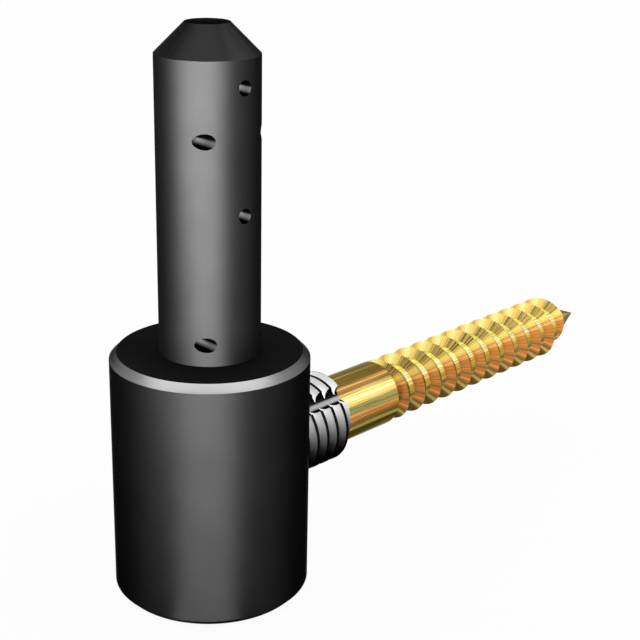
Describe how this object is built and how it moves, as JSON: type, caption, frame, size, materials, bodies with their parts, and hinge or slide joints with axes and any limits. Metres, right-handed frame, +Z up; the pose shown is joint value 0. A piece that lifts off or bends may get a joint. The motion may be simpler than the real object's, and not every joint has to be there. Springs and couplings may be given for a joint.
{
  "type": "screw-in hinge pin",
  "caption": "Screw-in hinge pin: an upright black pin in a chamfered barrel, with a grooved threaded sleeve in its side that holds a coarse yellow wood screw.",
  "frame": {"origin": "centre of the barrel's flat base, on the axis of the hinge pin", "axes": "+Z runs up along the hinge pin's axis, +X runs out along the wood screw from the barrel's axis, and the grease pockets open towards -Y"},
  "size_m": [0.0753, 0.02, 0.0578],
  "materials": {
    "barrel_black": "satin black coating on a turned barrel, bright on its top chamfer",
    "pin_black": "satin black coating on a ground pin",
    "sleeve_steel": "cut steel thread flanks, black crests and black groove",
    "screw_zinc": "yellow passivated zinc with a changing orange, gold and olive tint"
  },
  "bodies": {
    "root": {"barrel": "barrel_black", "hinge_pin": "pin_black", "threaded_sleeve": "sleeve_steel", "wood_screw": "screw_zinc"}
  },
  "joints": []
}
